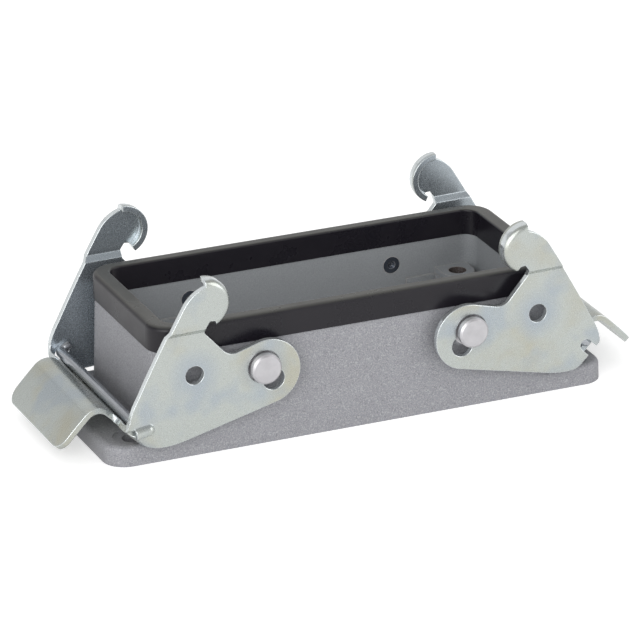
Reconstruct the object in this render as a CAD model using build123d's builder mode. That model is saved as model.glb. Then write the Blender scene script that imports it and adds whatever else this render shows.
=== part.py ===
"""Panel-mounting base housing of a sixteen-pole heavy duty rectangular connector.

A die-cast housing with a rubber seal on its rim and a second one under its flange, four
riveted pivot pins, and two locking levers folded from sheet steel, each with a wire spring.

Origin: the middle of the mounting face, on the panel.  X runs along the housing, Y across
it, Z up, away from the panel.  Millimetres.  The levers stand open: the left one rests on
the flange and the right one stands slightly above its stop.
"""
import os
from math import cos, radians, sin

from build123d import *

os.makedirs("parts", exist_ok=True)

# Housing
FLANGE_LENGTH = 117.0
FLANGE_WIDTH = 43.0
FLANGE_THICKNESS = 4.4
FLANGE_CORNER_R = 5.0
FLANGE_EDGE_R = 1.2
EAR_LENGTH = 11.3
BODY_HEIGHT = 23.4
BODY_CORNER_R = 5.3
WALL_DRAFT = 1.8
END_WALL = 3.2
RIM_WALL = 2.5
CAVITY_CORNER_R = 3.0
SKIRT_WALL = 2.9
SKIRT_DEPTH = 11.0

# Tongue on the rim, and the seal that caps it
TONGUE_SETBACK = 0.7
TONGUE_INSET = 0.6
TONGUE_HEIGHT = 3.4
SEAL_HEIGHT = 5.9
SEAL_OVERHANG = 0.35
SEAL_INSET = 0.2
SEAL_EDGE_R = 1.1
SEAL_LIP_R = 0.5

# Seal in the underside
PANEL_SEAL_SECTION = 1.6
PANEL_SEAL_MARGIN = 0.65
PANEL_SEAL_CORNER_R = 5.0

# Holes for the panel screws and bosses for the insert screws
MOUNT_FROM_END = 7.0
MOUNT_FROM_SIDE = 5.5
MOUNT_HOLE_R = 2.25
SPOTFACE_R = 4.2
SPOTFACE_DEPTH = 0.4
INSERT_FROM_END = 5.25
INSERT_FROM_SIDE = 3.7
INSERT_SCREW_R = 2.0
INSERT_SEAT_DEPTH = 6.9
INSERT_BOSS_R = 3.8
INSERT_BOSS_LENGTH = 11.5
STEP_DROP = 1.4
STEP_R = 5.0
LEDGE_WIDTH = 0.5
LEDGE_LENGTH = 11.0

# Pivot pins
PIVOT_FROM_END = 22.95
PIVOT_FROM_RIM = 4.7
PIVOT_BOSS_R = 4.4
PIVOT_BOSS_SETBACK = 0.4
SHANK_R = 2.0
COLLAR_R = 3.75
COLLAR_THICKNESS = 1.1
NECK_R = 2.2
HEAD_R = 3.4
HEAD_THICKNESS = 1.6
HEAD_CHAMFER = 0.45
DIMPLE_R = 0.9
DIMPLE_DEPTH = 0.5

# Clearances
SIDE_GAP = 0.3
BORE_GAP = 0.02
WIRE_GAP = 0.04

# Levers.  u runs outward from the pivot and w up, in the plane of a cheek
SHEET = 1.3
BEND_R = 1.2
JOGGLE = 1.0
JOGGLE_W = 10.5
JOGGLE_RISE = 1.2
LOBE_CENTRE = (-0.9, -1.35)
LOBE_R = 7.4
LOBE_TOP_ANGLE = 78.0
LOBE_BOTTOM_ANGLE = 256.0
THROAT_CORNER = (7.9, 3.9)
THROAT_R = 3.2
NOTCH_FOOT = (13.45, 10.25)
NOTCH_SIDE = (13.45, 11.9)
NOTCH_TOP = (12.5, 13.2)
NOSE_CENTRE = (13.25, 16.8)
NOSE_R = 5.7
NOSE_TIP_ANGLE = 243.0
RIM_DEPTH = 3.1
RIM_BEND_R = 1.5
BACK_CURVE = (16.3, 19.4)
BACK_TOP = (18.2, 17.2)
BACK_MIDDLE = (22.2, 10.3)
BACK_FOOT = (28.9, -2.2)
HEEL_MIDDLE = (30.3, -5.0)
HEEL_END = (31.1, -7.9)
BOTTOM_START = (18.3, -13.5)
BOTTOM_MIDDLE = (23.5, -14.05)
BOTTOM_END_ALONG = 10.2
SLOT_HEAD_R = 3.65
SLOT_NECK_R = 2.5
SLOT_NECK_CENTRE = (-2.1, -3.15)
CHEEK_HOLE_CENTRE = (15.95, 1.1)
CHEEK_HOLE_R = 2.1
WEB_ANGLE = 45.0
WEB_DISTANCE = 29.2
WEB_CORNER_ALONG = 15.3
WEB_TOP = 16.8
RELIEF_R = 2.1
CREST_U = 34.7
CREST_R = 4.0
HANDLE_MARGIN = 6.5
HANDLE_SLOPE = 43.5
HANDLE_CURL = 6.0
HANDLE_REACH = 9.4
HANDLE_CORNER_R = 3.2

# Wire springs, lying in the fold of a lever: one end in a pocket, the other at a notch
WIRE_R = 0.85
WIRE_BEND_R = 1.4
WIRE_ALONG_WEB = 13.3
POCKET_TAIL = 1.8
POCKET_TAIL_ANGLE = 172.0
NOTCH_TAIL = 2.4
NOTCH_TAIL_ANGLE = 115.0
POCKET_R = 1.4
POCKET_MOUTH = 1.2
NOTCH_R = 1.35
NOTCH_CENTRE = (27.7, -8.7)
NOTCH_DEPTH = 4.0
NOTCH_REACH = 4.0

# How far each lever stands above (+) or below (-) the angle it is drawn at
LEFT_TURN = -1.0
RIGHT_TURN = 1.0

# Worked out from the sizes above
BODY_LENGTH = FLANGE_LENGTH - 2 * EAR_LENGTH
HALF_WIDTH_TOP = FLANGE_WIDTH / 2 - WALL_DRAFT
CAVITY_LENGTH = BODY_LENGTH - 2 * END_WALL
CAVITY_WIDTH = 2 * (HALF_WIDTH_TOP - RIM_WALL)
MOUNT_PITCH_X = FLANGE_LENGTH - 2 * MOUNT_FROM_END
MOUNT_PITCH_Y = FLANGE_WIDTH - 2 * MOUNT_FROM_SIDE
INSERT_PITCH_X = CAVITY_LENGTH - 2 * INSERT_FROM_END
INSERT_PITCH_Y = CAVITY_WIDTH - 2 * INSERT_FROM_SIDE
INSERT_SEAT_Z = BODY_HEIGHT - INSERT_SEAT_DEPTH
PIVOT_X = BODY_LENGTH / 2 - PIVOT_FROM_END
PIVOT_Z = BODY_HEIGHT - PIVOT_FROM_RIM
PIVOT_BOSS_Y = FLANGE_WIDTH / 2 - PIVOT_BOSS_SETBACK
HANDLE_WIDTH = FLANGE_WIDTH - 2 * HANDLE_MARGIN
CHEEK_INNER_Y = PIVOT_BOSS_Y + COLLAR_THICKNESS + SIDE_GAP
CHEEK_OUTER_Y = CHEEK_INNER_Y + SHEET
HOOK_OUTER_Y = CHEEK_OUTER_Y + JOGGLE
BEND_OUTER_R = BEND_R + SHEET
FOLD_OUT = WEB_DISTANCE - BEND_OUTER_R
FOOT_W = FLANGE_THICKNESS + SIDE_GAP - PIVOT_Z - WEB_DISTANCE * sin(radians(LEFT_TURN))
WIRE_OUT = WEB_DISTANCE - SHEET - WIRE_R - 2 * WIRE_GAP
POCKET_Y = CHEEK_INNER_Y + WIRE_R + WIRE_GAP
NOTCH_TAIL_Y = CHEEK_INNER_Y - WIRE_R - WIRE_GAP
HEAD_SEAT_Y = CHEEK_OUTER_Y + SIDE_GAP


def half_width(z):
    """Half the width of the drafted body at a height."""
    return FLANGE_WIDTH / 2 - WALL_DRAFT * z / BODY_HEIGHT


def web_point(along, out):
    """A point (u, w) given along the web and square to it, measured from the pivot."""
    a = radians(WEB_ANGLE)
    return (out * sin(a) + along * cos(a), along * sin(a) - out * cos(a))


def on_circle(centre, radius, degrees):
    """A point of a circle at an angle."""
    a = radians(degrees)
    return (centre[0] + radius * cos(a), centre[1] + radius * sin(a))


def cheek_plane(y):
    """The plane of a cheek sketch, y in front of the middle, in a lever's own frame."""
    return Plane(origin=(0, -y, 0), x_dir=(1, 0, 0), z_dir=(0, -1, 0))


def draw_side_view():
    """The closed outline of a lever seen from the side, without handle and nose rim."""
    flat_r = NOSE_R - RIM_BEND_R
    lobe_top = on_circle(LOBE_CENTRE, LOBE_R, LOBE_TOP_ANGLE)
    lobe_bottom = on_circle(LOBE_CENTRE, LOBE_R, LOBE_BOTTOM_ANGLE)
    nose_tip = on_circle(NOSE_CENTRE, flat_r, NOSE_TIP_ANGLE)
    nose_top = on_circle(NOSE_CENTRE, flat_r, 90)
    fold_bottom = web_point(BOTTOM_END_ALONG, WEB_DISTANCE)
    Polyline(lobe_top, THROAT_CORNER, NOTCH_FOOT, NOTCH_SIDE, NOTCH_TOP, nose_tip)
    ThreePointArc(nose_tip, on_circle(NOSE_CENTRE, flat_r, 180), nose_top)
    ThreePointArc(nose_top, BACK_CURVE, BACK_TOP)
    ThreePointArc(BACK_TOP, BACK_MIDDLE, BACK_FOOT)
    ThreePointArc(BACK_FOOT, HEEL_MIDDLE, HEEL_END)
    Polyline(HEEL_END, web_point(WEB_CORNER_ALONG, WEB_DISTANCE), fold_bottom)
    ThreePointArc(fold_bottom, BOTTOM_MIDDLE, BOTTOM_START)
    Line(BOTTOM_START, lobe_bottom)
    ThreePointArc(lobe_bottom, on_circle(LOBE_CENTRE, LOBE_R, 170), lobe_top)


def draw_handle(start, out, radius, reach):
    """One face of the handle: up along the web, over the crest, down the slope."""
    foot = web_point(start, out)
    crest_out = WEB_DISTANCE - SHEET + CREST_R
    crest_along = CREST_U / cos(radians(WEB_ANGLE)) - crest_out
    rise = Line(foot, web_point(crest_along, out))
    crest = JernArc(rise @ 1, rise % 1, radius, -(WEB_ANGLE + HANDLE_SLOPE))
    return JernArc(crest @ 1, crest % 1, reach, -HANDLE_CURL)


def lever_place(side, turn):
    """Where a lever's own frame goes: side 1 is the right pivot, side -1 the left one."""
    return Location((side * PIVOT_X, 0, PIVOT_Z), (0, -side * turn, 90 - side * 90))


# Die-cast housing: flange and ears, drafted box, tongue on the rim
with BuildPart() as housing:
    with BuildSketch():
        RectangleRounded(FLANGE_LENGTH, FLANGE_WIDTH, FLANGE_CORNER_R)
    with BuildSketch(Plane.XY.offset(FLANGE_THICKNESS)):
        RectangleRounded(FLANGE_LENGTH, 2 * half_width(FLANGE_THICKNESS), FLANGE_CORNER_R)
    loft(ruled=True)
    fillet(housing.edges().group_by(Axis.Z)[-1], FLANGE_EDGE_R)
    with BuildSketch():
        RectangleRounded(BODY_LENGTH, FLANGE_WIDTH, BODY_CORNER_R)
    with BuildSketch(Plane.XY.offset(BODY_HEIGHT)):
        RectangleRounded(BODY_LENGTH, 2 * HALF_WIDTH_TOP, BODY_CORNER_R)
    loft(ruled=True)
    with BuildSketch(Plane.XY.offset(BODY_HEIGHT)):
        RectangleRounded(
            BODY_LENGTH - 2 * TONGUE_SETBACK,
            2 * (HALF_WIDTH_TOP - TONGUE_SETBACK),
            BODY_CORNER_R - TONGUE_SETBACK,
        )
    extrude(amount=TONGUE_HEIGHT)

    # Flat bosses that carry the pivot pins on the drafted walls
    with BuildSketch(Plane.XZ.offset(-PIVOT_BOSS_Y)):
        with Locations((-PIVOT_X, PIVOT_Z), (PIVOT_X, PIVOT_Z)):
            Circle(PIVOT_BOSS_R)
    extrude(amount=2 * PIVOT_BOSS_Y)

    # Cavity for the insert, wider in the skirt and inside the tongue
    with BuildSketch():
        RectangleRounded(CAVITY_LENGTH, CAVITY_WIDTH, CAVITY_CORNER_R)
    extrude(amount=BODY_HEIGHT, mode=Mode.SUBTRACT)
    with BuildSketch(Plane.XY.offset(BODY_HEIGHT)):
        RectangleRounded(
            CAVITY_LENGTH + 2 * TONGUE_INSET, CAVITY_WIDTH + 2 * TONGUE_INSET, CAVITY_CORNER_R
        )
    extrude(amount=TONGUE_HEIGHT, mode=Mode.SUBTRACT)
    with BuildSketch():
        RectangleRounded(
            BODY_LENGTH - 2 * SKIRT_WALL, FLANGE_WIDTH - 2 * SKIRT_WALL, CAVITY_CORNER_R
        )
    extrude(amount=SKIRT_DEPTH, mode=Mode.SUBTRACT)

    # Bosses for the insert screws, each on a lower step that runs out along the wall
    for end in (-1, 1):
        for side in (-1, 1):
            boss_x = end * INSERT_PITCH_X / 2
            boss_y = side * INSERT_PITCH_Y / 2
            wall_y = side * CAVITY_WIDTH / 2
            with BuildSketch(Plane.XY.offset(INSERT_SEAT_Z)):
                with Locations((boss_x, boss_y)):
                    Circle(INSERT_BOSS_R)
                with Locations((boss_x, (boss_y + wall_y) / 2)):
                    Rectangle(2 * INSERT_BOSS_R, abs(wall_y - boss_y))
            extrude(amount=-INSERT_BOSS_LENGTH)
            with BuildSketch(Plane.XY.offset(INSERT_SEAT_Z - STEP_DROP)) as step:
                with Locations((boss_x, boss_y)):
                    Circle(STEP_R)
                with Locations((boss_x - end * LEDGE_LENGTH / 2, wall_y - side * LEDGE_WIDTH / 2)):
                    Rectangle(LEDGE_LENGTH, LEDGE_WIDTH)
                with BuildSketch(mode=Mode.INTERSECT):
                    RectangleRounded(CAVITY_LENGTH, CAVITY_WIDTH, CAVITY_CORNER_R)
            extrude(amount=-(INSERT_SEAT_Z - STEP_DROP - SKIRT_DEPTH))
    with BuildSketch(Plane.XY.offset(INSERT_SEAT_Z)):
        with GridLocations(INSERT_PITCH_X, INSERT_PITCH_Y, 2, 2):
            Circle(INSERT_SCREW_R)
    extrude(amount=-INSERT_BOSS_LENGTH, mode=Mode.SUBTRACT)

    # Pin bores, panel screw holes with their spot faces, groove in the underside
    with BuildSketch(Plane.XZ.offset(-PIVOT_BOSS_Y)):
        with Locations((-PIVOT_X, PIVOT_Z), (PIVOT_X, PIVOT_Z)):
            Circle(SHANK_R + BORE_GAP)
    extrude(amount=2 * PIVOT_BOSS_Y, mode=Mode.SUBTRACT)
    with BuildSketch():
        with GridLocations(MOUNT_PITCH_X, MOUNT_PITCH_Y, 2, 2):
            Circle(MOUNT_HOLE_R)
    extrude(amount=FLANGE_THICKNESS, mode=Mode.SUBTRACT)
    with BuildSketch(Plane.XY.offset(FLANGE_THICKNESS - SPOTFACE_DEPTH)):
        with GridLocations(MOUNT_PITCH_X, MOUNT_PITCH_Y, 2, 2):
            Circle(SPOTFACE_R)
    extrude(amount=SPOTFACE_DEPTH, mode=Mode.SUBTRACT)
    with BuildSketch() as groove:
        RectangleRounded(
            BODY_LENGTH + 2 * PANEL_SEAL_MARGIN,
            FLANGE_WIDTH - 2 * PANEL_SEAL_MARGIN,
            PANEL_SEAL_CORNER_R,
        )
        offset(amount=-PANEL_SEAL_SECTION, mode=Mode.SUBTRACT)
    extrude(amount=PANEL_SEAL_SECTION, mode=Mode.SUBTRACT)
housing.part.label = "housing"

# Rubber seal capping the tongue
with BuildPart() as rim_seal:
    with BuildSketch(Plane.XY.offset(BODY_HEIGHT)):
        RectangleRounded(
            BODY_LENGTH + 2 * SEAL_OVERHANG,
            2 * (HALF_WIDTH_TOP + SEAL_OVERHANG),
            BODY_CORNER_R + SEAL_OVERHANG,
        )
    extrude(amount=SEAL_HEIGHT)
    fillet(rim_seal.edges().group_by(Axis.Z)[-1], SEAL_EDGE_R)
    with BuildSketch(Plane.XY.offset(BODY_HEIGHT)):
        RectangleRounded(
            CAVITY_LENGTH - 2 * SEAL_INSET, CAVITY_WIDTH - 2 * SEAL_INSET, CAVITY_CORNER_R
        )
    extrude(amount=SEAL_HEIGHT, mode=Mode.SUBTRACT)
    fillet(rim_seal.faces().sort_by(Axis.Z)[-1].inner_wires()[0].edges(), SEAL_LIP_R)
    with BuildSketch(Plane.XY.offset(BODY_HEIGHT)):
        RectangleRounded(
            BODY_LENGTH - 2 * TONGUE_SETBACK,
            2 * (HALF_WIDTH_TOP - TONGUE_SETBACK),
            BODY_CORNER_R - TONGUE_SETBACK,
        )
        RectangleRounded(
            CAVITY_LENGTH + 2 * TONGUE_INSET,
            CAVITY_WIDTH + 2 * TONGUE_INSET,
            CAVITY_CORNER_R,
            mode=Mode.SUBTRACT,
        )
    extrude(amount=TONGUE_HEIGHT, mode=Mode.SUBTRACT)
rim_seal.part.label = "rim_seal"

# Rubber seal in the groove of the underside
with BuildPart() as panel_seal:
    with BuildSketch():
        RectangleRounded(
            BODY_LENGTH + 2 * PANEL_SEAL_MARGIN,
            FLANGE_WIDTH - 2 * PANEL_SEAL_MARGIN,
            PANEL_SEAL_CORNER_R,
        )
        offset(amount=-PANEL_SEAL_SECTION, mode=Mode.SUBTRACT)
    extrude(amount=PANEL_SEAL_SECTION)
panel_seal.part.label = "panel_seal"

# Pivot pin, drawn along its axis: shank, collar, neck and upset head
with BuildPart() as pin_shape:
    with BuildSketch(Plane.XY.offset(CAVITY_WIDTH / 2)):
        Circle(SHANK_R)
    extrude(amount=PIVOT_BOSS_Y - CAVITY_WIDTH / 2)
    with BuildSketch(Plane.XY.offset(PIVOT_BOSS_Y)):
        Circle(COLLAR_R)
    extrude(amount=COLLAR_THICKNESS)
    with BuildSketch(Plane.XY.offset(PIVOT_BOSS_Y + COLLAR_THICKNESS)):
        Circle(NECK_R)
    extrude(amount=HEAD_SEAT_Y - PIVOT_BOSS_Y - COLLAR_THICKNESS)
    with BuildSketch(Plane.XY.offset(HEAD_SEAT_Y)):
        Circle(HEAD_R)
    extrude(amount=HEAD_THICKNESS)
    chamfer(pin_shape.edges().group_by(Axis.Z)[-1], HEAD_CHAMFER)
    with BuildSketch(Plane.XY.offset(CAVITY_WIDTH / 2)):
        Circle(DIMPLE_R)
    extrude(amount=DIMPLE_DEPTH, taper=45, mode=Mode.SUBTRACT)

with BuildPart() as pivot_pin_left_front:
    with Locations(Location((-PIVOT_X, 0, PIVOT_Z), (90, 0, 0))):
        add(pin_shape.part)
pivot_pin_left_front.part.label = "pivot_pin_left_front"

with BuildPart() as pivot_pin_left_back:
    with Locations(Location((-PIVOT_X, 0, PIVOT_Z), (-90, 0, 0))):
        add(pin_shape.part)
pivot_pin_left_back.part.label = "pivot_pin_left_back"

with BuildPart() as pivot_pin_right_front:
    with Locations(Location((PIVOT_X, 0, PIVOT_Z), (90, 0, 0))):
        add(pin_shape.part)
pivot_pin_right_front.part.label = "pivot_pin_right_front"

with BuildPart() as pivot_pin_right_back:
    with Locations(Location((PIVOT_X, 0, PIVOT_Z), (-90, 0, 0))):
        add(pin_shape.part)
pivot_pin_right_back.part.label = "pivot_pin_right_back"


def wire_end(corner_y, length, degrees):
    """Centre line of one end of a spring: along Y to the corner, then the tail."""
    u, w = web_point(WIRE_ALONG_WEB, WIRE_OUT)
    tail_u, tail_w = on_circle((u, w), length, degrees)
    FilletPolyline((u, 0, w), (u, corner_y, w), (tail_u, corner_y, tail_w), radius=WIRE_BEND_R)


# Wire spring in the frame of its lever
with BuildPart() as spring_shape:
    for corner_y, length, degrees in (
        (POCKET_Y, POCKET_TAIL, POCKET_TAIL_ANGLE),
        (-NOTCH_TAIL_Y, NOTCH_TAIL, NOTCH_TAIL_ANGLE),
    ):
        with BuildLine() as centre_line:
            wire_end(corner_y, length, degrees)
        with BuildSketch(Plane(centre_line.line @ 0, z_dir=(0, corner_y, 0))):
            Circle(WIRE_R)
        sweep(path=centre_line.line)

# Lever in its own frame.  First the web with its two bends, trimmed to the side view
with BuildPart() as lever_shape:
    across_web = Plane(
        origin=(0, 0, 0),
        x_dir=(0, -1, 0),
        z_dir=(cos(radians(WEB_ANGLE)), 0, sin(radians(WEB_ANGLE))),
    )
    with BuildSketch(across_web) as section:
        with Locations((0, WEB_DISTANCE - BEND_OUTER_R)):
            Rectangle(2 * CHEEK_OUTER_Y, 2 * BEND_OUTER_R)
        fillet(section.vertices().group_by(Axis.Y)[-1], BEND_OUTER_R)
    extrude(amount=WEB_TOP)
    with BuildSketch(across_web) as inside:
        with Locations((0, WEB_DISTANCE - SHEET - BEND_OUTER_R)):
            Rectangle(2 * CHEEK_INNER_Y, 2 * BEND_OUTER_R)
        fillet(inside.vertices().group_by(Axis.Y)[-1], BEND_R)
    extrude(amount=WEB_TOP, mode=Mode.SUBTRACT)
    with BuildSketch(cheek_plane(0)):
        with BuildLine():
            draw_side_view()
        make_face()
    extrude(amount=HOOK_OUTER_Y, both=True, mode=Mode.INTERSECT)

    # Room for the flange under the foot of the web
    with BuildSketch(cheek_plane(0)):
        with Locations((WEB_DISTANCE, FOOT_W - SHEET)):
            Rectangle(WEB_DISTANCE, 2 * SHEET)
    extrude(amount=FLANGE_WIDTH / 2 + SIDE_GAP, both=True, mode=Mode.SUBTRACT)

    # Front cheek, thick enough to cut the joggled sheet from
    with BuildSketch(cheek_plane(CHEEK_INNER_Y)) as cheek:
        with BuildLine():
            draw_side_view()
        make_face()
        with Locations(Location(web_point(0, FOLD_OUT + WEB_DISTANCE / 2), WEB_ANGLE)):
            Rectangle(3 * WEB_DISTANCE, WEB_DISTANCE, mode=Mode.SUBTRACT)
        fillet(cheek.vertices().sort_by_distance(THROAT_CORNER)[0], THROAT_R)
        Circle(SLOT_HEAD_R, mode=Mode.SUBTRACT)
        with Locations(SLOT_NECK_CENTRE):
            Circle(SLOT_NECK_R, mode=Mode.SUBTRACT)
        with Locations(CHEEK_HOLE_CENTRE):
            Circle(CHEEK_HOLE_R, mode=Mode.SUBTRACT)
    extrude(amount=SHEET + JOGGLE)
    joggle_top = JOGGLE_W + JOGGLE_RISE
    with BuildSketch(Plane.YZ):
        with BuildLine():
            Polyline(
                (-CHEEK_OUTER_Y, -WEB_DISTANCE),
                (-CHEEK_OUTER_Y, JOGGLE_W),
                (-HOOK_OUTER_Y, joggle_top),
                (-HOOK_OUTER_Y - SHEET, -WEB_DISTANCE),
                close=True,
            )
        make_face()
        with BuildLine():
            Polyline(
                (-CHEEK_INNER_Y, JOGGLE_W),
                (-CHEEK_INNER_Y - JOGGLE, joggle_top),
                (-CHEEK_INNER_Y - JOGGLE, WEB_DISTANCE),
                (-CHEEK_INNER_Y + SHEET, WEB_DISTANCE),
                close=True,
            )
        make_face()
    extrude(amount=2 * WEB_DISTANCE, both=True, mode=Mode.SUBTRACT)

    # Rim folded inward round the nose
    nose = (NOSE_CENTRE[0], 0, NOSE_CENTRE[1])
    with BuildSketch(Plane(nose, x_dir=(0, 0, 1), z_dir=(1, 0, 0))) as rim:
        with BuildLine():
            Polyline(
                (NOSE_R - RIM_BEND_R - WIRE_R, HOOK_OUTER_Y),
                (NOSE_R, HOOK_OUTER_Y),
                (NOSE_R, HOOK_OUTER_Y - RIM_DEPTH),
                (NOSE_R - SHEET, HOOK_OUTER_Y - RIM_DEPTH),
                (NOSE_R - SHEET, HOOK_OUTER_Y - SHEET),
                (NOSE_R - RIM_BEND_R - WIRE_R, HOOK_OUTER_Y - SHEET),
                close=True,
            )
        make_face()
        outer_corner = (NOSE_R, HOOK_OUTER_Y)
        inner_corner = (NOSE_R - SHEET, HOOK_OUTER_Y - SHEET)
        fillet(rim.vertices().sort_by_distance(outer_corner)[0], RIM_BEND_R)
        fillet(rim.vertices().sort_by_distance(inner_corner)[0], RIM_BEND_R - SHEET)
    revolve(axis=Axis(nose, (0, -1, 0)), revolution_arc=NOSE_TIP_ANGLE - 90)
    mirror(about=Plane.XZ)

    # Handle, turned over a crest and relieved from the bends
    with BuildSketch(cheek_plane(0)):
        with BuildLine():
            curl_r = HANDLE_REACH / radians(HANDLE_CURL)
            top = draw_handle(WEB_TOP - BEND_OUTER_R, WEB_DISTANCE - SHEET, CREST_R, curl_r)
            under = draw_handle(
                WEB_TOP - BEND_OUTER_R, WEB_DISTANCE, CREST_R - SHEET, curl_r - SHEET
            )
            Line(top @ 1, under @ 1)
            Line(
                web_point(WEB_TOP - BEND_OUTER_R, WEB_DISTANCE - SHEET),
                web_point(WEB_TOP - BEND_OUTER_R, WEB_DISTANCE),
            )
        make_face()
    extrude(amount=HANDLE_WIDTH / 2, both=True)
    tip_edges = lever_shape.edges().filter_by(lambda e: abs(e.length - SHEET) < 1e-3)
    fillet(tip_edges.sort_by(Axis.X)[-2:], HANDLE_CORNER_R)
    along_web = Plane(
        origin=(0, 0, 0),
        x_dir=(0, 1, 0),
        z_dir=(sin(radians(WEB_ANGLE)), 0, -cos(radians(WEB_ANGLE))),
    )
    with BuildSketch(along_web.offset(WEB_DISTANCE - 2 * SHEET)):
        relief_y = HANDLE_WIDTH / 2 + RELIEF_R
        with Locations((-relief_y, WEB_TOP), (relief_y, WEB_TOP)):
            Circle(RELIEF_R)
    extrude(amount=3 * SHEET, mode=Mode.SUBTRACT)

    # Half-round pocket on the back cheek for one end of the wire
    wire_u, wire_w = web_point(WIRE_ALONG_WEB, WIRE_OUT)
    tail = on_circle((0, 0), 1, POCKET_TAIL_ANGLE)
    mouth = (wire_u - POCKET_MOUTH * tail[0], POCKET_Y, wire_w - POCKET_MOUTH * tail[1])
    pocket_end = (wire_u + POCKET_TAIL * tail[0], POCKET_Y, wire_w + POCKET_TAIL * tail[1])
    with BuildSketch(Plane(mouth, x_dir=(0, 1, 0), z_dir=(tail[0], 0, tail[1]))):
        Circle(POCKET_R)
        with Locations((POCKET_R - WIRE_R - WIRE_GAP, 0)):
            Rectangle(2 * POCKET_R, 2 * POCKET_R, mode=Mode.INTERSECT)
    extrude(amount=POCKET_MOUTH + POCKET_TAIL)
    with Locations(pocket_end):
        Sphere(POCKET_R)
    with Locations((pocket_end[0], CHEEK_INNER_Y - SHEET / 2, pocket_end[2])):
        Box(2 * POCKET_R, SHEET, 2 * POCKET_R, mode=Mode.SUBTRACT)
    with BuildSketch(Plane(pocket_end, x_dir=(0, 1, 0), z_dir=(-tail[0], 0, -tail[1]))):
        Circle(WIRE_R + WIRE_GAP)
    extrude(amount=POCKET_TAIL + POCKET_MOUTH + SHEET, mode=Mode.SUBTRACT)
    with BuildLine() as wire_hole:
        wire_end(POCKET_Y, POCKET_TAIL, POCKET_TAIL_ANGLE)
    with BuildSketch(Plane(wire_hole.line @ 0, z_dir=(0, 1, 0))):
        Circle(WIRE_R + WIRE_GAP)
    sweep(path=wire_hole.line, mode=Mode.SUBTRACT)

    # Notch through the other bend, at the wire's other end
    with BuildSketch(cheek_plane(CHEEK_OUTER_Y - NOTCH_REACH)):
        with Locations(NOTCH_CENTRE):
            Circle(NOTCH_R)
        with Locations(
            Location(
                (NOTCH_CENTRE[0] + NOTCH_DEPTH / 2 * sin(radians(WEB_ANGLE)),
                 NOTCH_CENTRE[1] - NOTCH_DEPTH / 2 * cos(radians(WEB_ANGLE))),
                -WEB_ANGLE,
            )
        ):
            Rectangle(NOTCH_DEPTH, 2 * NOTCH_R)
    extrude(amount=NOTCH_REACH + SHEET, mode=Mode.SUBTRACT)

with BuildPart() as right_lever:
    with Locations(lever_place(1, RIGHT_TURN)):
        add(lever_shape.part)
right_lever.part.label = "right_lever"

with BuildPart() as left_lever:
    with Locations(lever_place(-1, LEFT_TURN)):
        add(lever_shape.part)
left_lever.part.label = "left_lever"

with BuildPart() as right_lever_spring:
    with Locations(lever_place(1, RIGHT_TURN)):
        add(spring_shape.part)
right_lever_spring.part.label = "right_lever_spring"

with BuildPart() as left_lever_spring:
    with Locations(lever_place(-1, LEFT_TURN)):
        add(spring_shape.part)
left_lever_spring.part.label = "left_lever_spring"

export_step(housing.part, "parts/housing.step")
export_step(rim_seal.part, "parts/rim_seal.step")
export_step(panel_seal.part, "parts/panel_seal.step")
export_step(pivot_pin_left_front.part, "parts/pivot_pin_left_front.step")
export_step(pivot_pin_left_back.part, "parts/pivot_pin_left_back.step")
export_step(pivot_pin_right_front.part, "parts/pivot_pin_right_front.step")
export_step(pivot_pin_right_back.part, "parts/pivot_pin_right_back.step")
export_step(right_lever.part, "parts/right_lever.step")
export_step(left_lever.part, "parts/left_lever.step")
export_step(right_lever_spring.part, "parts/right_lever_spring.step")
export_step(left_lever_spring.part, "parts/left_lever_spring.step")
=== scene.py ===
"""Looks of the open rectangular connector housing: paint, rubber, zinc plate, wire and light.

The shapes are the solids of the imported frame, apart from the two wire springs, which are
swept here.  Each piece gets its finish, and the script sets the white studio and the
camera of the photograph.  Lengths are in metres.
"""
import math

import bpy
import numpy as np
from mathutils import Matrix, Vector


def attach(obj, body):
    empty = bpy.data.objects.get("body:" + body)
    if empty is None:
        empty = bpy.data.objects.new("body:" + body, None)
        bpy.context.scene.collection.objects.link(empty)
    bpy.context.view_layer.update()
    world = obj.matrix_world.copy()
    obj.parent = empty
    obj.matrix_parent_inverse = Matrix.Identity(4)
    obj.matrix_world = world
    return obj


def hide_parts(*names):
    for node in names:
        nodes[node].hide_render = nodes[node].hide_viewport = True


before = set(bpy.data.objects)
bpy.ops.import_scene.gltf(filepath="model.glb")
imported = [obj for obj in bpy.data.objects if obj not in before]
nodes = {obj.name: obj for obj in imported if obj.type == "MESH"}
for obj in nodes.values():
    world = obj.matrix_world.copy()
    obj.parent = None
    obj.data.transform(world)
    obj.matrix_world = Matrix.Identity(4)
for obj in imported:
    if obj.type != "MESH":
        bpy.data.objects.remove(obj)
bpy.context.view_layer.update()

# Camera of the photograph, from a fit to the flange, the seal and the levers
PHOTO_PIXELS = 640
FOCAL_PIXELS = 4937.1
AZIMUTH = math.radians(-24.02)
ELEVATION = math.radians(22.75)
DISTANCE = 1.08035
ORIGIN_PIXEL = (323.30, 388.23)
SENSOR_MM = 36.0
VIEW_END = 20.0

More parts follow.
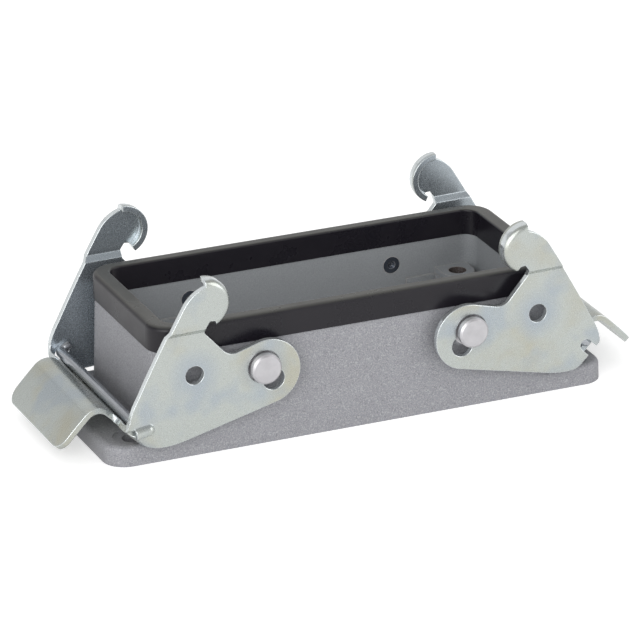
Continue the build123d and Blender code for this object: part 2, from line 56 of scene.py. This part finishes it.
# Colours as linear light
PAINT_GREY = (0.324, 0.326, 0.348)
PAINT_DARK = (0.200, 0.200, 0.220)
PAINT_FLAKE = (0.47, 0.47, 0.49)
PAINT_INSIDE = (0.310, 0.326, 0.339)
# Painted highlight on the sharp edges inside the cavity
PAINT_EDGE_HIGHLIGHT = (0.430, 0.410, 0.390)
# Brown of the bare thread, darkened as painted shade in the insert bores
BORE_THREAD_AND_SHADE = (0.090, 0.070, 0.062)
RUBBER_BLACK = (0.009, 0.008, 0.012)
RUBBER_BLOOM = (0.014, 0.012, 0.016)
# Dust and a painted sheen on the rubber's upward faces
RUBBER_DUST_AND_SHEEN = (0.108, 0.108, 0.098)
ZINC = (0.520, 0.551, 0.527)
ZINC_STRAW = (0.495, 0.485, 0.400)
ZINC_BLUE = (0.420, 0.470, 0.515)
# Lighter cut metal with a painted highlight, for cut faces and sharp edges
ZINC_CUT_AND_HIGHLIGHT = (0.740, 0.780, 0.790)
PIN_BRIGHT = (0.60, 0.59, 0.61)
# Painted shade on the pins' inner ends
PIN_END_SHADE = (0.07, 0.08, 0.10)
WIRE_GREY = (0.46, 0.48, 0.51)
FLOOR_GREY = (0.8, 0.8, 0.8)

# Half length and half width of the housing's cavity, with a little of its wall
CAVITY_HALF = (0.0443, 0.0174)
# Insert screw holes, as x and y of the middle, and their radius with the edge
INSERT_SCREW = (0.03875, 0.0135)
INSERT_BORE = 0.00205
# Face of the pins inside the cavity
PIN_INNER_Y = 0.0185
# Inner side of the levers' cheeks
CHEEK_INNER_Y = 0.0224
# Holes of the levers, each as x and z of its middle at rest
CHEEK_HOLES = ((-0.04022, 0.01952), (0.04018, 0.02008))
PIVOTS = ((-0.02425, 0.0187), (0.02425, 0.0187))
# Blue ring round a hole: strong up to the first distance, gone at the second
HOLE_RING = (0.0025, 0.0065)
# How far the rounded edges reach in; on the plate, the cavity's edges and the rims of the pins'
# inner ends they also carry a painted highlight
PLATE_EDGE = 0.00035
PAINT_HIGHLIGHT_REACH = 0.00035
PIN_RIM_HIGHLIGHT_REACH = 0.00025
PIN_EDGE = 0.0001

# Wire of a spring in the frame of its lever: outward from the pivot, along y, upward.
# The corners are where its centre line would turn without a bend; a tail is a length
# and an angle, from outward towards upward.
LEVER_TURN = math.radians(1.0)
WIRE_RADIUS = 0.00120
WIRE_BEND = 0.00130
POCKET_CORNER = (0.02826, 0.02345, -0.00945)
POCKET_TAIL = (0.0018, math.radians(172))
NOTCH_CORNER = (0.02889, -0.02215, -0.00881)
NOTCH_TAIL = (0.0026, math.radians(148))
BEND_POINTS = 13
RING_POINTS = 24
RING_START = math.radians(223)
BLUNT_LENGTH = 0.00025
BLUNT_SIZE = 0.72

# The surround: how bright it is as light and, in metal, above the horizon
LIGHT_LEVEL = 0.66
HORIZON_TOP = 0.25
CEILING_FOOT = 0.45
CEILING_LEVEL = 0.50
FLOOR_GLOW = 0.5
MIRRORED_GLOW = 0.3
FLOOR_HALF = 3.0

# Lamps as name, place, side length and power, all aimed at one point
LAMP_AIM = (0, 0, 0.01)
LAMPS = (
    ("key", (-0.5, -0.8, 0.5), 0.8, 3.5),
    ("fill", (0.7, -0.6, 0.4), 0.7, 2.6),
    ("side", (-0.9, -0.55, 0.33), 0.8, 3.2),
    ("top", (0.05, 0.55, 0.85), 1.2, 1.7),
)


def darker(colour, share):
    """A colour times share."""
    return tuple(c * share for c in colour)


class Nodes:
    """A node tree with a few short ways to add and join its nodes."""

    def __init__(self, tree):
        self.tree = tree

    def add(self, kind, **values):
        node = self.tree.nodes.new(kind)
        for key, value in values.items():
            setattr(node, key, value)
        return node

    def feed(self, socket, value):
        """Gives a socket another node's output, a colour or a number."""
        if isinstance(value, bpy.types.NodeSocket):
            self.tree.links.new(value, socket)
        elif socket.type == "RGBA":
            socket.default_value = (*value, 1.0)
        else:
            socket.default_value = value

    def ramp(self, value, low, high, start=0.0, end=1.0):
        """Maps value from low..high to start..end, held at both ends."""
        node = self.add("ShaderNodeMapRange")
        names = ("Value", "From Min", "From Max", "To Min", "To Max")
        for name, given in zip(names, (value, low, high, start, end)):
            self.feed(node.inputs[name], given)
        return node.outputs["Result"]

    def math(self, operation, *values):
        node = self.add("ShaderNodeMath", operation=operation)
        for socket, value in zip(node.inputs, values):
            self.feed(socket, value)
        return node.outputs["Value"]

    def parts(self, vector):
        """The x, y and z of a vector."""
        node = self.add("ShaderNodeSeparateXYZ")
        self.feed(node.inputs[0], vector)
        return node.outputs


class Finish(Nodes):
    """A node material of one finish, placed by the piece's own coordinates."""

    def __init__(self, name):
        self.material = bpy.data.materials.new(name)
        self.material.use_nodes = True
        super().__init__(self.material.node_tree)
        self.shader = self.tree.nodes["Principled BSDF"]
        self.place = self.add("ShaderNodeTexCoord").outputs["Object"]

    def noise(self, scale, detail=2.0, rough=0.5, stretch=(1, 1, 1)):
        """Noise over the piece; scale counts cells per metre."""
        mapping = self.add("ShaderNodeMapping")
        self.feed(mapping.inputs["Vector"], self.place)
        self.feed(mapping.inputs["Scale"], stretch)
        node = self.add("ShaderNodeTexNoise")
        self.feed(node.inputs["Vector"], mapping.outputs["Vector"])
        self.feed(node.inputs["Scale"], scale)
        self.feed(node.inputs["Detail"], detail)
        self.feed(node.inputs["Roughness"], rough)
        return node.outputs["Fac"]

    def mix(self, amount, a, b):
        """Colour a where amount is 0, colour b where it is 1."""
        node = self.add("ShaderNodeMix", data_type="RGBA")
        for place, value in ((0, amount), (6, a), (7, b)):
            self.feed(node.inputs[place], value)
        return node.outputs[2]

    def vector(self, operation, *values):
        node = self.add("ShaderNodeVectorMath", operation=operation)
        for socket, value in zip(node.inputs, values):
            self.feed(socket, value)
        return node.outputs

    def facing(self):
        """The outward direction of the surface."""
        return self.add("ShaderNodeNewGeometry").outputs["Normal"]

    def reach(self, place, middle, axes):
        """Distance from middle, counted only along the axes whose number is 1."""
        shift = self.vector("SUBTRACT", place, middle)[0]
        flat = self.vector("MULTIPLY", shift, axes)[0]
        return self.vector("LENGTH", flat)["Value"]

    def size(self, value):
        """The value without its sign."""
        return self.math("ABSOLUTE", value)

    def within(self, value, limit):
        """1 where value is between -limit and limit, else 0."""
        return self.math("LESS_THAN", self.size(value), limit)

    def rounded(self, radius):
        """The outward direction, with sharp edges rounded by radius."""
        node = self.add("ShaderNodeBevel", samples=8)
        self.feed(node.inputs["Radius"], radius)
        return node.outputs["Normal"]

    def edge(self, rounded):
        """0 on flat ground, rising to 1 at a sharp edge."""
        along = self.vector("DOT_PRODUCT", rounded, self.facing())["Value"]
        return self.ramp(along, 0.85, 0.99, 1.0, 0.0)

    def bump(self, height, distance, strength, under=None):
        """The outward direction, tilted by a height; under is the direction it starts from."""
        node = self.add("ShaderNodeBump")
        self.feed(node.inputs["Height"], height)
        self.feed(node.inputs["Distance"], distance)
        self.feed(node.inputs["Strength"], strength)
        if under is not None:
            self.feed(node.inputs["Normal"], under)
        return node.outputs["Normal"]

    def set(self, **values):
        for key, value in values.items():
            self.feed(self.shader.inputs[key.replace("_", " ")], value)


def grained_paint():
    """Silver-grey paint with a fine grain: small flakes and pits over a soft mottle.

    Inside the cavity the grain is finer and the edges carry a pale painted highlight; the insert
    bores are painted dark, bare brown thread with painted shade.
    """
    f = Finish("grained_paint")
    grain = f.noise(3300, detail=2.0, rough=0.6)
    flakes = f.noise(4000, detail=1.0, rough=0.4)
    mottle = f.noise(160, detail=3.0)
    x, y, _ = f.parts(f.place)
    inside = f.math("MULTIPLY", f.within(x, CAVITY_HALF[0]), f.within(y, CAVITY_HALF[1]))
    open_grain = f.ramp(inside, 0.0, 1.0, 1.0, 0.35)
    base = f.mix(f.ramp(mottle, 0.35, 0.65), PAINT_GREY, darker(PAINT_GREY, 0.95))
    base = f.mix(inside, base, PAINT_INSIDE)
    corner = f.vector("ABSOLUTE", f.place)[0]
    bore = f.reach(corner, (*INSERT_SCREW, 0.0), (1, 1, 0))
    # Painted shade: the insert bores are painted dark over the brown of their bare thread
    base = f.mix(f.math("LESS_THAN", bore, INSERT_BORE), base, BORE_THREAD_AND_SHADE)
    pits = f.math("MULTIPLY", f.ramp(grain, 0.50, 0.70, 0.0, 0.85), open_grain)
    sparks = f.math("MULTIPLY", f.ramp(flakes, 0.52, 0.70, 0.0, 0.85), open_grain)
    speckled = f.mix(sparks, f.mix(pits, base, PAINT_DARK), PAINT_FLAKE)
    # Painted highlight: the sharp edges inside the cavity are painted pale
    edge_highlight = f.math("MULTIPLY", f.edge(f.rounded(PAINT_HIGHLIGHT_REACH)), inside)
    f.set(Base_Color=f.mix(f.math("MULTIPLY", edge_highlight, 0.7), speckled, PAINT_EDGE_HIGHLIGHT))
    f.set(Roughness=f.ramp(grain, 0.3, 0.7, 0.46, 0.60))
    f.set(Metallic=0.15, Specular_IOR_Level=0.4)
    f.set(Normal=f.bump(f.math("MULTIPLY", grain, open_grain), 0.00010, 0.8))
    return f.material


def moulded_rubber(name, colour, bloom):
    """Black rubber with a soft shine, a faint bloom, and dust with a painted sheen on what faces
    up.
    """
    f = Finish(name)
    grain = f.noise(5000, detail=2.0)
    cloud = f.noise(90, detail=4.0, rough=0.6)
    black = f.mix(f.ramp(cloud, 0.25, 0.8), colour, bloom)
    # What faces up is painted lighter: dust, and a painted sheen of grazing light
    upward = f.ramp(f.parts(f.facing())[2], 0.55, 0.95, 0.0, 0.85)
    dust_and_sheen = f.math("MULTIPLY", upward, f.ramp(cloud, 0.25, 0.65, 1.0, 0.7))
    f.set(Base_Color=f.mix(dust_and_sheen, black, RUBBER_DUST_AND_SHEEN))
    f.set(Roughness=f.ramp(cloud, 0.3, 0.7, 0.24, 0.34), Specular_IOR_Level=0.36)
    f.set(Normal=f.bump(grain, 0.00002, 0.4))
    return f.material


def zinc_plate():
    """Passivated zinc plate.

    Pale metal with straw patches, blue on inner faces and round each hole; cut faces and sharp
    edges are painted bright, partly lighter cut metal and partly a painted highlight.
    """
    f = Finish("zinc_plate")
    clouds = f.noise(75, detail=3.0, rough=0.55)
    stains = f.noise(120, detail=2.0, rough=0.5)
    specks = f.noise(1500, detail=2.0, rough=0.5)
    colour = f.mix(f.ramp(clouds, 0.48, 0.68, 0.0, 0.85), ZINC, ZINC_STRAW)
    colour = f.mix(f.ramp(stains, 0.52, 0.68, 0.0, 0.7), colour, ZINC_BLUE)
    for x, z in CHEEK_HOLES + PIVOTS:
        reach = f.reach(f.place, (x, 0.0, z), (1, 0, 1))
        colour = f.mix(f.ramp(reach, *HOLE_RING, 0.8, 0.0), colour, ZINC_BLUE)
    turn = f.parts(f.facing())[1]
    across = f.parts(f.place)[1]
    inward = f.math("MULTIPLY", turn, across)
    colour = f.mix(f.ramp(inward, -0.012, -0.004, 0.9, 0.0), colour, ZINC_BLUE)
    colour = f.mix(f.ramp(specks, 0.60, 0.75, 0.0, 0.25), colour, darker(ZINC, 0.8))
    # Cut faces of the cheeks and every sharp edge are painted bright: lighter cut metal with a
    # painted highlight
    sideways = f.ramp(f.size(turn), 0.3, 0.6, 1.0, 0.0)
    on_cheek = f.math("GREATER_THAN", f.size(across), CHEEK_INNER_Y)
    rounded = f.rounded(PLATE_EDGE)
    bright = f.math("MAXIMUM", f.math("MULTIPLY", sideways, on_cheek), f.edge(rounded))
    f.set(Base_Color=f.mix(bright, colour, ZINC_CUT_AND_HIGHLIGHT), Metallic=0.80, Normal=rounded)
    smooth = f.ramp(bright, 0.0, 1.0, 0.0, -0.08)
    f.set(Roughness=f.math("ADD", f.ramp(specks, 0.3, 0.7, 0.23, 0.30), smooth))
    return f.material


def upset_steel():
    """Bright rivet steel with small dents; the end inside the cavity is painted dark as shade,
    with a painted highlight on its rim.
    """
    f = Finish("upset_steel")
    dents = f.noise(900, detail=2.0)
    tone = f.noise(400, detail=3.0)
    bright = f.mix(f.ramp(tone, 0.4, 0.65), PIN_BRIGHT, darker(PIN_BRIGHT, 0.9))
    inner = f.within(f.parts(f.place)[1], PIN_INNER_Y)
    # Painted shade on the pins' inner ends, with a painted highlight round their rims
    end = f.mix(f.edge(f.rounded(PIN_RIM_HIGHLIGHT_REACH)), PIN_END_SHADE, PIN_BRIGHT)
    f.set(Base_Color=f.mix(inner, bright, end))
    f.set(Metallic=0.8, Roughness=f.ramp(tone, 0.3, 0.7, 0.34, 0.46))
    f.set(Normal=f.bump(dents, 0.00003, 0.4, f.rounded(PIN_EDGE)))
    return f.material


def drawn_wire():
    """Drawn steel wire with fine lines along it."""
    f = Finish("drawn_wire")
    lines = f.noise(6000, detail=2.0, stretch=(1, 0.03, 1))
    f.set(Base_Color=f.mix(f.ramp(lines, 0.4, 0.6), WIRE_GREY, darker(WIRE_GREY, 0.85)))
    f.set(Metallic=0.9, Roughness=f.ramp(lines, 0.3, 0.7, 0.2, 0.28))
    f.set(Normal=f.bump(lines, 0.00001, 0.4))
    return f.material


def dress(names, material):
    """Gives CAD nodes one material in place of their slots."""
    for name in names:
        mesh = nodes[name].data
        mesh.materials.clear()
        mesh.materials.append(material)


def bent_end(corner, length, angle):
    """Centre line from the straight of the wire round its bend into the tail.

    The bend is a quarter circle between the y direction and the tail's direction.
    """
    corner = np.array(corner)
    along = np.array([0.0, np.sign(corner[1]), 0.0])
    tail = np.array([math.cos(angle), 0.0, math.sin(angle)])
    turned = np.linspace(0.0, math.pi / 2, BEND_POINTS)[:, None]
    centre = corner + (tail - along) * WIRE_BEND
    bend = centre + WIRE_BEND * (along * np.sin(turned) - tail * np.cos(turned))
    return np.vstack((bend, corner + tail * length))


def beyond(tip, before):
    """A point past tip, on the line from before through tip."""
    step = tip - before
    return tip + step / np.linalg.norm(step) * BLUNT_LENGTH


def round_wire(path, radius):
    """Rings of a wire: a circle carried along path, smaller at both ends.

    Each ring is square to the path; its first axis is what is left of one fixed
    direction after the part along the path is taken away.
    """
    ahead = np.gradient(path, axis=0)
    ahead /= np.linalg.norm(ahead, axis=1)[:, None]
    fixed = np.array([math.cos(RING_START), 0.0, math.sin(RING_START)])
    first = fixed - (ahead @ fixed)[:, None] * ahead
    first /= np.linalg.norm(first, axis=1)[:, None]
    second = np.cross(ahead, first)
    size = np.full(len(path), radius)
    size[[0, -1]] *= BLUNT_SIZE
    around = np.linspace(0.0, 2 * math.pi, RING_POINTS + 1)[:-1][None, :, None]
    ring = np.cos(around) * first[:, None] + np.sin(around) * second[:, None]
    return path[:, None] + size[:, None, None] * ring


def on_lever(points, side):
    """Points of a lever's frame at their place on the housing.

    They turn by LEVER_TURN about the pivot, up on the right side and down on the left,
    where the frame then stands half round about z.
    """
    out, along, up = np.moveaxis(points, -1, 0)
    turn = side * LEVER_TURN
    pivot_x, pivot_z = PIVOTS[1]
    x = pivot_x + out * math.cos(turn) - up * math.sin(turn)
    z = pivot_z + out * math.sin(turn) + up * math.cos(turn)
    return np.stack((side * x, side * along, z), axis=-1)


def spring(name, body, side, material):
    """A lever's wire spring: straight in the fold, one tail in the pocket, one at the notch."""
    pocket = bent_end(POCKET_CORNER, *POCKET_TAIL)
    notch = bent_end(NOTCH_CORNER, *NOTCH_TAIL)
    path = np.vstack((
        beyond(pocket[-1], pocket[-2]), pocket[::-1], notch, beyond(notch[-1], notch[-2]),
    ))
    points = on_lever(round_wire(path, WIRE_RADIUS), side)
    k = np.arange(len(path) * RING_POINTS).reshape(-1, RING_POINTS)
    beside = np.roll(k, -1, axis=1)
    quads = np.stack((k[:-1], beside[:-1], beside[1:], k[1:]), axis=-1)
    faces = quads.reshape(-1, 4).tolist() + [k[0][::-1].tolist(), k[-1].tolist()]
    mesh = bpy.data.meshes.new(name)
    mesh.from_pydata(points.reshape(-1, 3).tolist(), [], faces)
    mesh.polygons.foreach_set("use_smooth", np.ones(len(faces), bool))
    mesh.materials.append(material)
    wire = bpy.data.objects.new(name, mesh)
    bpy.context.scene.collection.objects.link(wire)
    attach(wire, body)
    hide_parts(f"{body.removesuffix('_body')}_spring")


def white_floor():
    """A wide floor that shows white, also in metal, and keeps the object's shadow."""
    a = FLOOR_HALF
    mesh = bpy.data.meshes.new("floor")
    mesh.from_pydata([(-a, -a, 0), (a, -a, 0), (a, a, 0), (-a, a, 0)], [], [(0, 1, 2, 3)])
    floor = bpy.data.objects.new("floor", mesh)
    bpy.context.scene.collection.objects.link(floor)
    material = bpy.data.materials.new("white_floor")
    material.use_nodes = True
    n = Nodes(material.node_tree)
    n.tree.nodes.clear()
    cloth = n.add("ShaderNodeBsdfDiffuse")
    n.feed(cloth.inputs["Color"], FLOOR_GREY)
    path = n.add("ShaderNodeLightPath").outputs
    seen = n.math("MULTIPLY", path["Is Camera Ray"], FLOOR_GLOW)
    mirrored = n.math("MULTIPLY", path["Is Glossy Ray"], MIRRORED_GLOW)
    glow = n.add("ShaderNodeEmission")
    n.feed(glow.inputs["Strength"], n.math("ADD", seen, mirrored))
    both = n.add("ShaderNodeAddShader")
    n.feed(both.inputs[0], cloth.outputs[0])
    n.feed(both.inputs[1], glow.outputs[0])
    n.feed(n.add("ShaderNodeOutputMaterial").inputs["Surface"], both.outputs[0])
    mesh.materials.append(material)


def studio_world():
    """Even surround: white to the camera and, near the horizon, to metal; softer as light."""
    world = bpy.data.worlds.new("studio")
    bpy.context.scene.world = world
    world.use_nodes = True
    n = Nodes(world.node_tree)
    n.tree.nodes.clear()
    path = n.add("ShaderNodeLightPath").outputs
    height = n.parts(n.add("ShaderNodeTexCoord").outputs["Generated"])[2]
    ceiling = n.ramp(height, HORIZON_TOP, CEILING_FOOT, 1.0, CEILING_LEVEL)
    shine = n.ramp(path["Is Glossy Ray"], 0.0, 1.0, LIGHT_LEVEL, ceiling)
    back = n.add("ShaderNodeBackground")
    n.feed(back.inputs["Strength"], n.ramp(path["Is Camera Ray"], 0.0, 1.0, shine, 1.0))
    n.feed(n.add("ShaderNodeOutputWorld").inputs["Surface"], back.outputs[0])


def soft_box(name, place, size, power):
    """A square area lamp at place that shines at the object."""
    lamp = bpy.data.lights.new(name, "AREA")
    lamp.size = size
    lamp.energy = power
    box = bpy.data.objects.new(name, lamp)
    box.location = place
    way = Vector(LAMP_AIM) - Vector(place)
    box.rotation_euler = way.to_track_quat("-Z", "Y").to_euler()
    bpy.context.scene.collection.objects.link(box)


def photo_camera():
    """A camera whose picture of the origin falls on its pixel of the photograph."""
    back = Vector((
        math.sin(AZIMUTH) * math.cos(ELEVATION),
        -math.cos(AZIMUTH) * math.cos(ELEVATION),
        math.sin(ELEVATION),
    ))
    right = Vector((math.cos(AZIMUTH), math.sin(AZIMUTH), 0.0))
    up = back.cross(right)
    across = (ORIGIN_PIXEL[0] - PHOTO_PIXELS / 2) / FOCAL_PIXELS * DISTANCE
    down = (ORIGIN_PIXEL[1] - PHOTO_PIXELS / 2) / FOCAL_PIXELS * DISTANCE
    lens = bpy.data.cameras.new("camera")
    lens.sensor_width = SENSOR_MM
    lens.lens = FOCAL_PIXELS * SENSOR_MM / PHOTO_PIXELS
    lens.clip_end = VIEW_END
    camera = bpy.data.objects.new("camera", lens)
    axes = Matrix((right, up, back)).transposed().to_4x4()
    place = back * DISTANCE - right * across + up * down
    camera.matrix_world = Matrix.Translation(place) @ axes
    bpy.context.scene.collection.objects.link(camera)
    bpy.context.scene.camera = camera


dress(["housing"], grained_paint())
dress(["rim_seal"], moulded_rubber("rim_rubber", RUBBER_BLACK, RUBBER_BLOOM))
dress(["panel_seal"], moulded_rubber("panel_rubber", RUBBER_BLACK, RUBBER_BLACK))
dress(["left_lever", "right_lever"], zinc_plate())
dress([n for n in nodes if n.startswith("pivot_pin")], upset_steel())
wire_steel = drawn_wire()
dress(["left_lever_spring", "right_lever_spring"], wire_steel)
spring("left_spring_wire", "left_lever_body", -1, wire_steel)
spring("right_spring_wire", "right_lever_body", 1, wire_steel)

white_floor()
studio_world()
for lamp_values in LAMPS:
    soft_box(*lamp_values)
photo_camera()
bpy.context.scene.view_settings.view_transform = "Standard"
